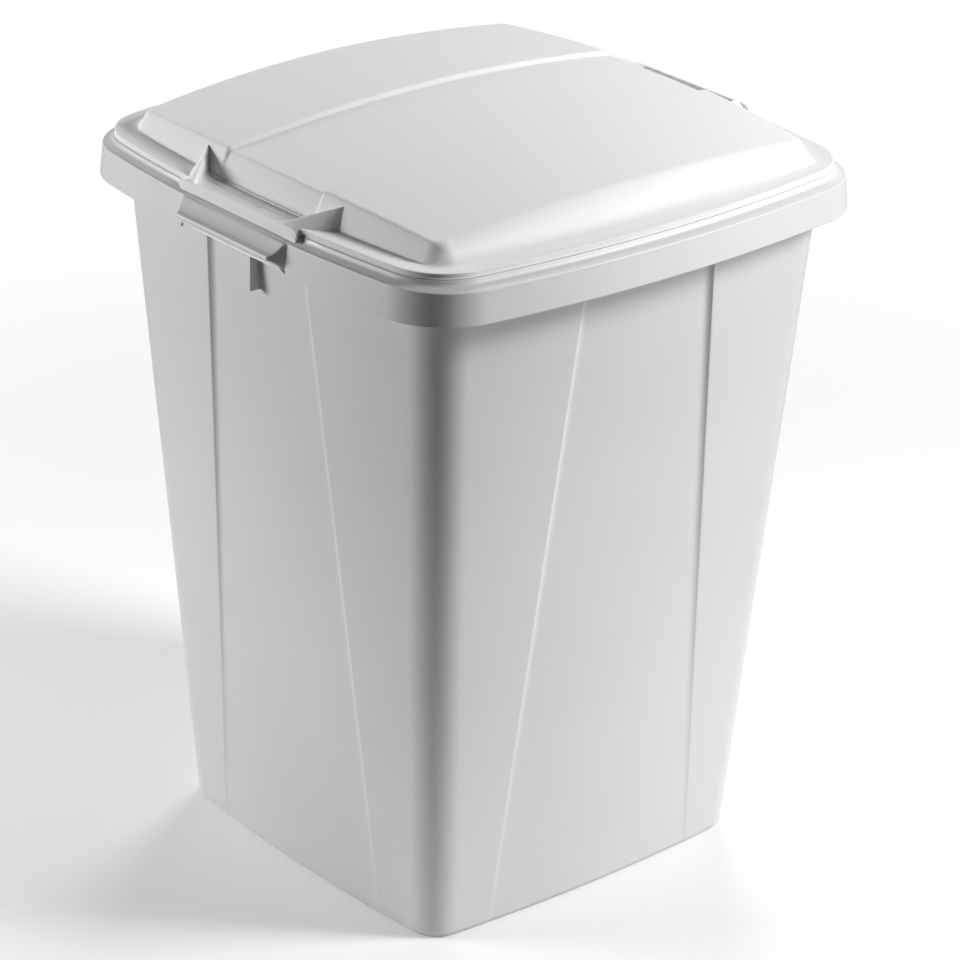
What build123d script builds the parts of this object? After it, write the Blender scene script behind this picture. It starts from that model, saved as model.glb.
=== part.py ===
from build123d import *
import math
import os

# Square waste container of the 90 litre class with a lift-off lid.
# Millimetres, +Z up, origin at the centre of the floor face it stands on.
# X runs through the two carrying handles, the wide plain sides face -Y and +Y.
# The object is two injection mouldings: the container and the lid.

# ---------------------------------------------------------------- driving dimensions
# rim, measured on its outer top edge
RIM_A, RIM_B = 241.0, 245.0        # half width in X and half depth in Y, at mid side
RIM_R = 53.0                       # corner radius in plan
RIM_SAG_Y, RIM_SAG_X = 25.5, 21.5  # how far the +-Y and +-X sides bow out from corner to middle
RIM_Z = 602.5                      # height of the rim's outer edge
SKIRT_H = 26.9                     # depth of the down-turned skirt
SKIRT_OUT = 2.9                    # the skirt opens outwards by this much at its bottom
SKIRT_T = 2.4                      # skirt wall
SHOULDER_T = 2.5                   # flat plate between tub wall and skirt
GROOVE_D = 1.1                     # shallow groove in that plate
BEAD_OUT, BEAD_IN = 8.8, 11.9      # upstanding bead that carries the lid, inwards from the rim edge
BEAD_TOP = 609.8
# tub, outer faces
TUB_Z = RIM_Z - SKIRT_H            # the height where the upper tub section was measured
TOP_A, TOP_B, TOP_R, TOP_SAG_Y, TOP_SAG_X = 223.1, 222.0, 47.6, 20.1, 21.7
BOT_A, BOT_B, BOT_R, BOT_SAG_Y, BOT_SAG_X = 176.3, 175.9, 29.7, 9.4, 9.9
WALL = 2.5
FOOT_EDGE_R = 6.0                  # rounding where the walls meet the floor
FOOT_W, FOOT_H = 16.0, 2.5         # width of the standing ring and recess inside it
FLOOR_T = 3.2
# recessed panel in the middle of each side, deepest under the rim, fading out at the foot
PANEL_X_TOP, PANEL_X_BOT = 65.8, 109.5   # half widths on the +-Y sides
PANEL_Y_TOP, PANEL_Y_BOT = 68.7, 105.1   # half widths on the +-X sides
PANEL_D_TOP, PANEL_D_BOT = 5.0, 0.25
PANEL_SLOPE = 0.35                 # run of the step across for each mm of its depth
# carrying ledges on the +-X skirt
LEDGE_X = 254.2
LEDGE_Y_OUT, LEDGE_Y_IN = 59.0, 67.6
LEDGE_ROOT_TOP, LEDGE_ROOT_BOT = 598.5, 578.3
LEDGE_LIP_TOP, LEDGE_LIP_BOT = 592.7, 588.2
# stacking rib under each ledge, on the tub wall
RIB_T, RIB_OUT, RIB_Z0 = 3.0, 226.6, 538.4
# lid
GAP = 0.3                          # between the bead and the brim that rests over it
BRIM_EDGE = 9.6                    # inwards from the rim edge
BRIM_Z0 = BEAD_TOP + GAP
BRIM_Z1 = 613.1
LID_T = 2.5
DOME_A, DOME_B, DOME_R, DOME_SAG_Y, DOME_SAG_X = 211.4, 208.8, 11.0, 13.5, 13.9   # foot of the dome's wall
DOME_TOP_A, DOME_TOP_B = 198.6, 200.2                                       # where it meets the crown
CROWN_Z, CROWN_KX, CROWN_KY = 649.1, 3.17e-4, 2.6e-4   # crown height Z - KX*x^2 - KY*y^2
BAND_Y, BAND_D = 60.9, 3.4         # sunk band across the crown, half width and depth
FLANGE_OUT, FLANGE_IN, FLANGE_Z = 12.6, 15.0, 603.4    # locating flange inside the bead
# grips on the +-X sides of the lid
GRIP_APEX_Y, GRIP_APEX_Z = 88.0, 631.0          # top of the flared web, on the dome's wall
GRIP_X, GRIP_Y, GRIP_Z = 241.5, 54.3, 615.5     # outer top edge of the lip
GRIP_FOOT_Y, GRIP_FOOT_Z = 73.0, 605.3          # lower corner of the lip
GRIP_T = 2.6                                    # thickness of the web's upright wall


# ---------------------------------------------------------------- plan outlines
class Plan:
    """Rounded square whose four sides are bowed arcs, tangent to its corner arcs."""

    def __init__(self, a, b, r, side_x, side_y):
        self.a, self.b, self.r, self.sx, self.sy = a, b, r, side_x, side_y

    @staticmethod
    def bowed(a, b, r, sag_y, sag_x):
        return Plan(a, b, r, (b * b + sag_x * sag_x) / (2 * sag_x), (a * a + sag_y * sag_y) / (2 * sag_y))

    def grow(self, d):
        return Plan(self.a + d, self.b + d, self.r + d, self.sx + d, self.sy + d)

    def corner(self):
        # centre of the corner arc in the first quadrant, and its two tangent points
        c1 = (0.0, self.b - self.sy)
        c2 = (self.a - self.sx, 0.0)
        r1, r2 = self.sy - self.r, self.sx - self.r
        dx, dy = c2[0] - c1[0], c2[1] - c1[1]
        d = math.hypot(dx, dy)
        x = (d * d + r1 * r1 - r2 * r2) / (2 * d)
        h = math.sqrt(max(r1 * r1 - x * x, 0.0))
        ux, uy = dx / d, dy / d
        best = None
        for s in (1, -1):
            p = (c1[0] + ux * x - uy * h * s, c1[1] + uy * x + ux * h * s)
            if best is None or p[0] + p[1] > best[0] + best[1]:
                best = p
        t1 = math.atan2(best[1] - c1[1], best[0] - c1[0])
        t2 = math.atan2(best[1] - c2[1], best[0] - c2[0])
        on_y = (best[0] + self.r * math.cos(t1), best[1] + self.r * math.sin(t1))
        on_x = (best[0] + self.r * math.cos(t2), best[1] + self.r * math.sin(t2))
        tm = (t1 + t2) / 2
        mid = (best[0] + self.r * math.cos(tm), best[1] + self.r * math.sin(tm))
        return on_x, mid, on_y

    def x_at(self, y):
        return self.a - self.sx + math.sqrt(self.sx ** 2 - y * y)

    def y_at(self, x):
        return self.b - self.sy + math.sqrt(self.sy ** 2 - x * x)

    def wire(self, z):
        on_x, mid, on_y = self.corner()
        segs = []
        for q in range(4):
            sgx = (1, -1, -1, 1)[q]
            sgy = (1, 1, -1, -1)[q]
            c = [(sgx * p[0], sgy * p[1], z) for p in (on_x, mid, on_y)]
            if q % 2:
                c.reverse()
            segs.append(Edge.make_three_point_arc(*[Vector(*p) for p in c]))
            # the side that follows this corner
            nxt = {0: ((on_y[0], on_y[1]), (0, self.b), (-on_y[0], on_y[1])),
                   1: ((-on_x[0], on_x[1]), (-self.a, 0), (-on_x[0], -on_x[1])),
                   2: ((-on_y[0], -on_y[1]), (0, -self.b), (on_y[0], -on_y[1])),
                   3: ((on_x[0], -on_x[1]), (self.a, 0), (on_x[0], on_x[1]))}[q]
            segs.append(Edge.make_three_point_arc(*[Vector(p[0], p[1], z) for p in nxt]))
        return Wire(segs)

    def panel_wire(self, z, wx, wy, depth):
        """The same outline with a recess of the given depth in the middle of each side."""
        on_x, mid, on_y = self.corner()
        s = PANEL_SLOPE * depth

        def arc(p, m, q):
            return Edge.make_three_point_arc(Vector(*p, z), Vector(*m, z), Vector(*q, z))

        def line(p, q):
            return Edge.make_line(Vector(*p, z), Vector(*q, z))

        segs = []
        for q in range(4):
            sgx = (1, -1, -1, 1)[q]
            sgy = (1, 1, -1, -1)[q]
            c = [(sgx * p[0], sgy * p[1]) for p in (on_x, mid, on_y)]
            if q % 2:
                c.reverse()
            segs.append(arc(*c))
            if q in (0, 2):
                g = 1 if q == 0 else -1      # side at +-Y, walked from +X to -X for q 0
                def f(x, d=0.0):
                    return (g * x, g * (self.y_at(x) - d))
                w, wi = wx, wx - s
                e = on_y[0]
                segs += [arc(f(e), f((e + w) / 2), f(w)), line(f(w), f(wi, depth)),
                         arc(f(wi, depth), f(0, depth), f(-wi, depth)), line(f(-wi, depth), f(-w)),
                         arc(f(-w), f(-(e + w) / 2), f(-e))]
            else:
                g = -1 if q == 1 else 1      # side at -X walked from +Y to -Y, side at +X from -Y to +Y
                def f(y, d=0.0):
                    return (g * (self.x_at(y) - d), y)
                w, wi = wy, wy - s
                e = on_x[1]
                k = -1 if g > 0 else 1
                segs += [arc(f(k * e), f(k * (e + w) / 2), f(k * w)), line(f(k * w), f(k * wi, depth)),
                         arc(f(k * wi, depth), f(0, depth), f(-k * wi, depth)), line(f(-k * wi, depth), f(-k * w)),
                         arc(f(-k * w), f(-k * (e + w) / 2), f(-k * e))]
        return Wire(segs)


def lerp(u, v, t):
    return u + (v - u) * t


def tub_plan(z):
    t = z / TUB_Z
    return Plan.bowed(lerp(BOT_A, TOP_A, t), lerp(BOT_B, TOP_B, t), lerp(BOT_R, TOP_R, t),
                      lerp(BOT_SAG_Y, TOP_SAG_Y, t), lerp(BOT_SAG_X, TOP_SAG_X, t))


def tub_wire(z, inset, at=None):
    """Section of the tub's face at the height z, moved inwards by inset; drawn at the height at."""
    t = z / TUB_Z
    return tub_plan(z).grow(-inset).panel_wire(z if at is None else at, lerp(PANEL_X_BOT, PANEL_X_TOP, t),
                                               lerp(PANEL_Y_BOT, PANEL_Y_TOP, t), lerp(PANEL_D_BOT, PANEL_D_TOP, t))


def loft_plans(pairs):
    return Solid.make_loft([p.wire(z) for p, z in pairs], ruled=True)


def one(shape):
    """The single solid of a result."""
    s = shape.solids()
    assert len(s) == 1, len(s)
    return s[0]


rim = Plan.bowed(RIM_A, RIM_B, RIM_R, RIM_SAG_Y, RIM_SAG_X)

# ---------------------------------------------------------------- container
# tub body, with a rounded foot
tub_outer = Solid.make_loft([tub_wire(0.0, FOOT_EDGE_R), tub_wire(0.5, FOOT_EDGE_R * 0.60), tub_wire(1.8, FOOT_EDGE_R * 0.28),
                             tub_wire(3.6, FOOT_EDGE_R * 0.08), tub_wire(FOOT_EDGE_R, 0.0), tub_wire(RIM_Z - 0.6, 0.0)], ruled=True)
floor_z = FOOT_H + FLOOR_T
cavity = Solid.make_loft([tub_wire(floor_z, WALL + 3.2), tub_wire(floor_z + 0.9, WALL + 1.2), tub_wire(floor_z + 3.0, WALL + 0.1),
                          tub_wire(floor_z + 3.6, WALL), tub_wire(RIM_Z + 1.0, WALL)], ruled=True)
foot_plan = tub_plan(0.0).grow(-FOOT_W)
foot_recess = loft_plans([(foot_plan, -1.0), (foot_plan.grow(-FOOT_H * 0.4), FOOT_H)])

# skirt, shoulder plate and lid bead
skirt_body = loft_plans([(rim.grow(SKIRT_OUT), TUB_Z), (rim.grow(0.35), RIM_Z - 2.2), (rim.grow(-0.25), RIM_Z - 0.9), (rim.grow(-1.3), RIM_Z)])
skirt_void = loft_plans([(rim.grow(SKIRT_OUT + 0.1 - SKIRT_T), TUB_Z - 1.0), (rim.grow(0.35 - SKIRT_T), RIM_Z - SHOULDER_T - 1.4),
                         (rim.grow(-1.6 - SKIRT_T), RIM_Z - SHOULDER_T)])
bead_body = loft_plans([(rim.grow(-BEAD_OUT + 1.2), RIM_Z - 1.6), (rim.grow(-BEAD_OUT), RIM_Z + 1.2), (rim.grow(-BEAD_OUT), BEAD_TOP)])
bead_void = loft_plans([(rim.grow(-BEAD_IN), RIM_Z), (rim.grow(-BEAD_IN), BEAD_TOP + 1.0)])
groove = loft_plans([(rim.grow(-2.2), RIM_Z + 0.3), (rim.grow(-4.4), RIM_Z - GROOVE_D)]) - loft_plans([(rim.grow(-BEAD_OUT + 0.6), RIM_Z - GROOVE_D - 0.5), (rim.grow(-BEAD_OUT + 0.6), RIM_Z + 0.5)])


def ledge(side):
    """Carrying ledge: concave top and underside, rounded outer bead, ends cut back at an angle in plan."""
    x0 = 236.0
    root = 240.6
    with BuildPart() as p:
        with BuildSketch(Plane.XZ):
            with BuildLine():
                Line((x0, LEDGE_ROOT_BOT), (root + 1.6, LEDGE_ROOT_BOT))
                Spline((root + 1.6, LEDGE_ROOT_BOT), (245.4, 583.6), (LEDGE_X - 3.2, LEDGE_LIP_BOT), tangents=((0.25, 1), (1, 0.35)))
                ThreePointArc((LEDGE_X - 3.2, LEDGE_LIP_BOT), (LEDGE_X, (LEDGE_LIP_TOP + LEDGE_LIP_BOT) / 2), (LEDGE_X - 2.4, LEDGE_LIP_TOP))
                Spline((LEDGE_X - 2.4, LEDGE_LIP_TOP), (246.6, 593.4), (root, LEDGE_ROOT_TOP), tangents=((-1, 0.02), (-0.45, 1)))
                Line((root, LEDGE_ROOT_TOP), (x0, LEDGE_ROOT_TOP))
                Line((x0, LEDGE_ROOT_TOP), (x0, LEDGE_ROOT_BOT))
            make_face()
        extrude(amount=80.0, both=True)
    k = (LEDGE_Y_IN - LEDGE_Y_OUT) / (LEDGE_X - root)
    ends = Polyline((230, LEDGE_Y_IN + k * 10.6), (260, LEDGE_Y_OUT - k * 5.8), (260, -LEDGE_Y_OUT + k * 5.8), (230, -LEDGE_Y_IN - k * 10.6), close=True)
    trim = extrude(Pos(0, 0, 570) * make_face(ends), 40)
    s = one(p.part & trim)
    return s if side > 0 else one(s.rotate(Axis.Z, 180))


upper = skirt_body + ledge(1) + ledge(-1)
upper = upper - skirt_void - groove + bead_body
rib_w = RIB_OUT - 205.0
ribs = [Pos(s * (205.0 + rib_w / 2), 0, (RIB_Z0 + RIM_Z - 1.0) / 2) * Box(rib_w, RIB_T, RIM_Z - 1.0 - RIB_Z0) for s in (1, -1)]
container = tub_outer + upper + ribs
container = container - cavity - bead_void - foot_recess
container = one(container)


# ---------------------------------------------------------------- lid
def crown_block(drop, up, half_y=None):
    """Block bounded by the doubly arched crown surface lowered by drop: below it, or above it when up is set."""
    n = 13
    size = 232.0
    pts = []
    for i in range(n):
        x = -size + 2 * size * i / (n - 1)
        row = []
        for j in range(n):
            y = -size + 2 * size * j / (n - 1)
            row.append(Vector(x, y, CROWN_Z - drop - CROWN_KX * x * x - CROWN_KY * y * y))
        pts.append(row)
    face = Face.make_surface_from_array_of_points(pts, min_deg=2, max_deg=4, tol=0.001)
    d = 70.0 if up else -90.0
    return Solid.extrude(face, Vector(0, 0, d))


dome_foot = Plan.bowed(DOME_A, DOME_B, DOME_R, DOME_SAG_Y, DOME_SAG_X)
lean_x, lean_y = DOME_A - DOME_TOP_A, DOME_B - DOME_TOP_B


def dome_plan(z, inset):
    t = (z - BRIM_Z1) / (636.5 - BRIM_Z1)
    return Plan.bowed(DOME_A - lean_x * t, DOME_B - lean_y * t, DOME_R, DOME_SAG_Y, DOME_SAG_X).grow(-inset)


dome_body = loft_plans([(dome_plan(BRIM_Z1 - 0.5, 0), BRIM_Z1 - 0.5), (dome_plan(655.0, 0), 655.0)])
dome_body = one(dome_body & crown_block(0.0, False))
dome_hollow = loft_plans([(dome_plan(BRIM_Z0 - 2.0, LID_T), BRIM_Z0 - 2.0), (dome_plan(655.0, LID_T), 655.0)])
dome_hollow = one(dome_hollow & crown_block(LID_T, False))
band = Pos(0, 0, 640) * Box(2 * 230, 2 * BAND_Y, 60)
band_cut = crown_block(BAND_D, True) & band
under_band = Pos(0, 0, 640) * Box(2 * 230, 2 * (BAND_Y + LID_T), 60)
under_cut = crown_block(BAND_D + LID_T, True) & under_band
dome_hollow = one(dome_hollow - under_cut)
dome_body = one(dome_body - band_cut)

brim = loft_plans([(rim.grow(-BRIM_EDGE), BRIM_Z0), (rim.grow(-BRIM_EDGE + 0.1), BRIM_Z1 - 0.9), (rim.grow(-BRIM_EDGE - 0.8), BRIM_Z1)])
flange_out = loft_plans([(rim.grow(-FLANGE_OUT), FLANGE_Z), (rim.grow(-FLANGE_OUT), BRIM_Z0 + 0.5)])
flange_in = loft_plans([(rim.grow(-FLANGE_IN), FLANGE_Z - 1.0), (rim.grow(-FLANGE_IN), BRIM_Z0 + 1.0)])


def wedge(inset, low):
    """Flared web between the dome's wall and one end of the lip; with inset, the hollow under it."""
    i = inset
    ya, za = -GRIP_APEX_Y, GRIP_APEX_Z
    a = [(ya + GRIP_T - i, za - i), (ya, za - i), (ya - 1.2 + i, za - 6.0 - i), (ya - 1.8 + i, za - 12.0), (ya - 2.4 + i, low), (ya + GRIP_T - i, low)]
    if inset:
        a[1] = (ya - 0.1, za - 1.4 - i)
        a[0] = (ya + 0.1, za - 1.4 - i)
    yb = -GRIP_Y + 2.5 - i
    foot = GRIP_FOOT_Z - (4 if inset else 0)
    b = [(yb, GRIP_Z - i), (-GRIP_Y, GRIP_Z - i), (-63.6 + i * 0.3, 614.1 - i), (-69.9 + i * 0.8, 610.6 - i * 0.7), (-GRIP_FOOT_Y + i, foot), (yb, foot)]
    if inset:
        b[1] = (-GRIP_Y - i * 0.9, GRIP_Z - i)
    xa, xb = -(197.0 + (8 if inset else 0)), -(240.4 - (2.0 if inset else 0))
    if inset:
        # start the hollow part way along the web, so that it stays inside the skin
        t = 8.0 / 43.4
        a = [(lerp(p[0], q[0], t), lerp(p[1], q[1], t)) for p, q in zip(a, b)]
    wa = Wire.make_polygon([Vector(xa, y, z) for y, z in a], close=True)
    wb = Wire.make_polygon([Vector(xb, y, z) for y, z in b], close=True)
    return Solid.make_loft([wa, wb], ruled=True)


def lip_plate():
    """Upright lip of the grip with its short floor back to the brim."""
    pts = [(-226.0, BRIM_Z0), (-235.3, BRIM_Z0), (-235.3, GRIP_FOOT_Z), (-238.0, GRIP_FOOT_Z), (-241.1, GRIP_Z - 0.9), (-GRIP_X + 0.5, GRIP_Z),
           (-239.2, GRIP_Z), (-238.3, BRIM_Z1), (-226.0, BRIM_Z1)]
    f = make_face(Polyline(*[(x, 0, z) for x, z in pts], close=True))
    body = extrude(f, amount=GRIP_FOOT_Y, both=True)
    # ends: cut by the rounded end of the flared webs
    ends = [(-GRIP_FOOT_Y, 600.0), (-GRIP_FOOT_Y, GRIP_FOOT_Z), (-69.9, 610.6), (-63.6, 614.1), (-GRIP_Y, 616.5), (GRIP_Y, 616.5), (63.6, 614.1),
            (69.9, 610.6), (GRIP_FOOT_Y, GRIP_FOOT_Z), (GRIP_FOOT_Y, 600.0)]
    g = make_face(Polyline(*[(-245.0, y, z) for y, z in ends], close=True))
    return body & extrude(g, amount=30.0, dir=(1, 0, 0))


grip_left = lip_plate() + wedge(0.0, 612.4) + wedge(0.0, 612.4).mirror(Plane.XZ)
grips = grip_left + grip_left.mirror(Plane.YZ)
hollow_left = [wedge(2.2, 606.0), wedge(2.2, 606.0).mirror(Plane.XZ)]
grip_hollows = hollow_left + [h.mirror(Plane.YZ) for h in hollow_left]
keep_out = loft_plans([(rim.grow(-BEAD_OUT + 1.0), 590.0), (rim.grow(-BEAD_OUT + 1.0), BRIM_Z0)])

lid = brim + dome_body + grips
lid = lid - keep_out - dome_hollow - grip_hollows
lid = lid + (flange_out - flange_in)
lid = one(lid)

# ---------------------------------------------------------------- write
os.makedirs("parts", exist_ok=True)
nodes = {"container": container, "lid": lid}
for name, shape in nodes.items():
    shape.label = name
    export_step(shape, f"parts/{name}.step")
    bb = shape.bounding_box()
    print(name, "volume", round(shape.volume), "valid", shape.is_valid, "box", [round(v, 2) for v in (*bb.min, *bb.max)])
inside = one(cavity)
print("litres inside to the shoulder", round(inside.volume / 1e6, 1))
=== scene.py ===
"""Square 90 litre waste container with a lift-off lid: two injection mouldings in light grey plastic.

Lengths in the modelling code are millimetres in the CAD frame (+Z up, origin on the floor), turned into metres when a
mesh is made. Both mouldings are symmetric about the XZ and YZ planes, so one quarter is modelled and mirrored.
"""
import math

import bpy
import numpy as np
from mathutils import Matrix, Vector


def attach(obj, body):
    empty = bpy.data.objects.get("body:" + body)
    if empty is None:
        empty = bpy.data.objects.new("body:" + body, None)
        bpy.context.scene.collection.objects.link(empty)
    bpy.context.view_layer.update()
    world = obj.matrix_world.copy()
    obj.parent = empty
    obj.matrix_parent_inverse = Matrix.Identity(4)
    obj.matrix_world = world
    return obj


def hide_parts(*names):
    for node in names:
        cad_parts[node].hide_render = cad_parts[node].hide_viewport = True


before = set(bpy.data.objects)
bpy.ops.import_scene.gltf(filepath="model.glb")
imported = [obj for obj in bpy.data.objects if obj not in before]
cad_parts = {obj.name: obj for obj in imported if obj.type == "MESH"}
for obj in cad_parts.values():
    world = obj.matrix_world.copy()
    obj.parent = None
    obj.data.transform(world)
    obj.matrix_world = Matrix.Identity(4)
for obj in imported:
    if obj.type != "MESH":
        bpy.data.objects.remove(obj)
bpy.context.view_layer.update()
MM = 0.001


# ------------------------------------------------------------------ plan outlines
def lerp(a, b, t):
    return a + (b - a) * t


def smooth(x, a, b):
    t = np.clip((np.asarray(x, float) - a) / (b - a), 0.0, 1.0)
    return t * t * (3 - 2 * t)


class Plan:
    """Rounded square whose four sides are bowed arcs, tangent to its corner arcs."""

    def __init__(self, a, b, r, sx, sy):
        self.a, self.b, self.r, self.sx, self.sy = a, b, r, sx, sy
        c1 = (0.0, b - sy)
        c2 = (a - sx, 0.0)
        r1, r2 = sy - r, sx - r
        dx, dy = c2[0] - c1[0], c2[1] - c1[1]
        d = math.hypot(dx, dy)
        k = (d * d + r1 * r1 - r2 * r2) / (2 * d)
        h = math.sqrt(max(r1 * r1 - k * k, 0.0))
        ux, uy = dx / d, dy / d
        p, q = [(c1[0] + ux * k - uy * h * s, c1[1] + uy * k + ux * h * s) for s in (1, -1)]
        self.c = c = p if p[0] + p[1] > q[0] + q[1] else q
        self.th_y = math.atan2(c[1] - c1[1], c[0] - c1[0])
        self.th_x = math.atan2(c[1] - c2[1], c[0] - c2[0])
        self.tan_x = c[0] + r * math.cos(self.th_y)      # x where the +Y side ends
        self.tan_y = c[1] + r * math.sin(self.th_x)      # y where the +X side ends

    @staticmethod
    def bowed(a, b, r, sag_y, sag_x):
        return Plan(a, b, r, (b * b + sag_x * sag_x) / (2 * sag_x), (a * a + sag_y * sag_y) / (2 * sag_y))

    def grow(self, d):
        return Plan(self.a + d, self.b + d, self.r + d, self.sx + d, self.sy + d)

    def x_at(self, y):
        return self.a - self.sx + np.sqrt(self.sx ** 2 - np.asarray(y, float) ** 2)

    def y_at(self, x):
        return self.b - self.sy + np.sqrt(self.sy ** 2 - np.asarray(x, float) ** 2)

    def arc(self, f):
        th = lerp(self.th_x, self.th_y, np.asarray(f, float))
        return np.stack([self.c[0] + self.r * np.cos(th), self.c[1] + self.r * np.sin(th)], 1)


# ------------------------------------------------------------------ mesh building
class Shell:
    """Collects grids of points given for the first quadrant and mirrors them into all four."""

    def __init__(self):
        self.v, self.f, self.n = [], [], 0

    def grid(self, p, flip=False, mirror=True):
        p = np.asarray(p, float)
        rows, cols = p.shape[:2]
        idx = np.arange(rows * cols).reshape(rows, cols)
        q = np.stack([idx[:-1, :-1], idx[:-1, 1:], idx[1:, 1:], idx[1:, :-1]], -1).reshape(-1, 4)
        for sx, sy in (((1, 1), (-1, 1), (-1, -1), (1, -1)) if mirror else ((1, 1),)):
            self.v.append((p * (sx, sy, 1.0)).reshape(-1, 3))
            rev = flip != (sx * sy < 0)
            self.f.append((q[:, ::-1] if rev else q) + self.n)
            self.n += rows * cols

    def build(self, name, weld=2e-7):
        v = np.concatenate(self.v) * MM
        f = np.concatenate(self.f)
        return mesh_object(name, v, f, weld)


def mesh_object(name, v, f, weld=2e-7):
    import bmesh

    me = bpy.data.meshes.new(name)
    me.from_pydata(np.asarray(v).tolist(), [], np.asarray(f).tolist() if not isinstance(f, list) else f)
    bm = bmesh.new()
    bm.from_mesh(me)
    bmesh.ops.remove_doubles(bm, verts=bm.verts, dist=weld)
    bmesh.ops.dissolve_degenerate(bm, dist=1e-8, edges=bm.edges)
    bm.to_mesh(me)
    bm.free()
    ob = bpy.data.objects.new(name, me)
    bpy.context.collection.objects.link(ob)
    return ob


def shade(ob, angle=34.0):
    me = ob.data
    me.shade_smooth()
    me.set_sharp_from_angle(angle=math.radians(angle))


def firm_normals(ob):
    """Let the large faces keep their own normal, so that the small roundings beside them take all of the turn."""
    m = ob.modifiers.new("normals", "WEIGHTED_NORMAL")
    m.mode, m.weight, m.thresh, m.keep_sharp = "FACE_AREA", 50, 0.01, True
    apply_all(ob)


def apply_all(ob):
    dg = bpy.context.evaluated_depsgraph_get()
    me = bpy.data.meshes.new_from_object(ob.evaluated_get(dg))
    old = ob.data
    ob.modifiers.clear()
    ob.data = me
    bpy.data.meshes.remove(old)


# ------------------------------------------------------------------ container
RIM = Plan.bowed(242.0, 244.3, 61.0, 22.5, 20.5)
SEAT = Plan.bowed(234.0, 233.6, 51.5, 22.0, 20.0)     # line of the brim's edge; the bead follows it
TUB_Z = 575.6
RIB_OUT, RIB_Z0 = 226.6, 538.4


def tub_plan(z):
    t = z / TUB_Z
    return Plan.bowed(lerp(176.3, 223.1, t), lerp(175.9, 222.0, t), lerp(29.7, 39.0, t), lerp(9.4, 20.1, t), lerp(9.9, 21.7, t))


STEP_U = np.array([1.25, 1.0, 0.8, 0.62, 0.46, 0.32, 0.2, 0.11, 0.04, -0.02, -0.3])     # across a panel's step, from its floor outwards
GEN = np.arange(1, 11) / 11.0
AFTER = np.array([1.2, 2.0, 2.7, 4.5])
OUT = np.array([0.08, 0.18, 0.3, 0.42, 0.54, 0.66, 0.78, 0.88, 0.95, 1.0])
RIB_COLS = np.array([0.0, 1.1, 1.42, 1.58, 1.9, 4.0])
N_ARC = 18


def step_run(t):
    return lerp(7.0, 8.8, t)


def tub_cols(t, tan, w):
    run = step_run(t)
    first = w - STEP_U[0] * run
    last = w - STEP_U[-1] * run
    gen = RIB_COLS[-1] + (first - RIB_COLS[-1]) * GEN
    after = last + AFTER
    return np.concatenate([RIB_COLS, gen, w - STEP_U * run, after, after[-1] + (tan - after[-1]) * OUT])


def rim_cols(tan):
    """Columns of the rim's rings; the four after the panel's step are the ledge's end."""
    gen = RIB_COLS[-1] + (56.0 - RIB_COLS[-1]) * GEN
    st = 56.0 + np.arange(1, len(STEP_U) + 1) * (65.6 - 56.0) / len(STEP_U)
    end = np.array([66.6, 67.5, 68.1, 70.0])
    return np.concatenate([RIB_COLS, gen, st, end, end[-1] + (tan - end[-1]) * OUT])


N_SIDE = len(tub_cols(0.5, 160.0, 80.0))
I_END = len(RIB_COLS) + len(GEN) + len(STEP_U)      # index of the first of the ledge's end columns
ARC_F = np.arange(1, N_ARC) / N_ARC


def panel(u):
    """Share of the panel's depth across its step, u run lengths inwards from the step's outer edge."""
    v = np.clip(1.0 - np.asarray(u, float), 0.0, 1.0)
    return 1.0 - v ** 2.6


def tub_ring(z, inset=0.0, at=None, rib=False):
    """Ring of the tub's face at the height z, moved inwards by inset; drawn at the height at."""
    t = z / TUB_Z
    p = tub_plan(z).grow(-inset)
    depth, run = lerp(0.35, 4.1, t), step_run(t)
    wy, wx = lerp(107.5, 63.6, t), lerp(110.8, 67.4, t)
    ys = tub_cols(t, p.tan_y, wy)
    xs = p.x_at(ys) - depth * panel((wy - ys) / run)
    if rib:
        xs[:3] = (RIB_OUT, RIB_OUT - 0.08, RIB_OUT - 0.42)
    arc = p.arc(ARC_F)
    x2 = tub_cols(t, p.tan_x, wx)[::-1]
    y2 = p.y_at(x2) - depth * panel((wx - x2) / run)
    xy = np.concatenate([np.stack([xs, ys], 1), arc, np.stack([x2, y2], 1)])
    return np.column_stack([xy, np.full(len(xy), z if at is None else at)])


def bead_ring(out, steep):
    """Ring along the bead: out is its offset and height away from the grips, steep beside a grip's lip."""
    r, q = rim_ring(*out, plan=SEAT), rim_ring(*steep, plan=SEAT)
    s = (1.0 - smooth(r[:, 1], 77.0, 88.0)) * (np.arange(len(r)) < N_SIDE)
    return lerp(r, q, s[:, None])


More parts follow.
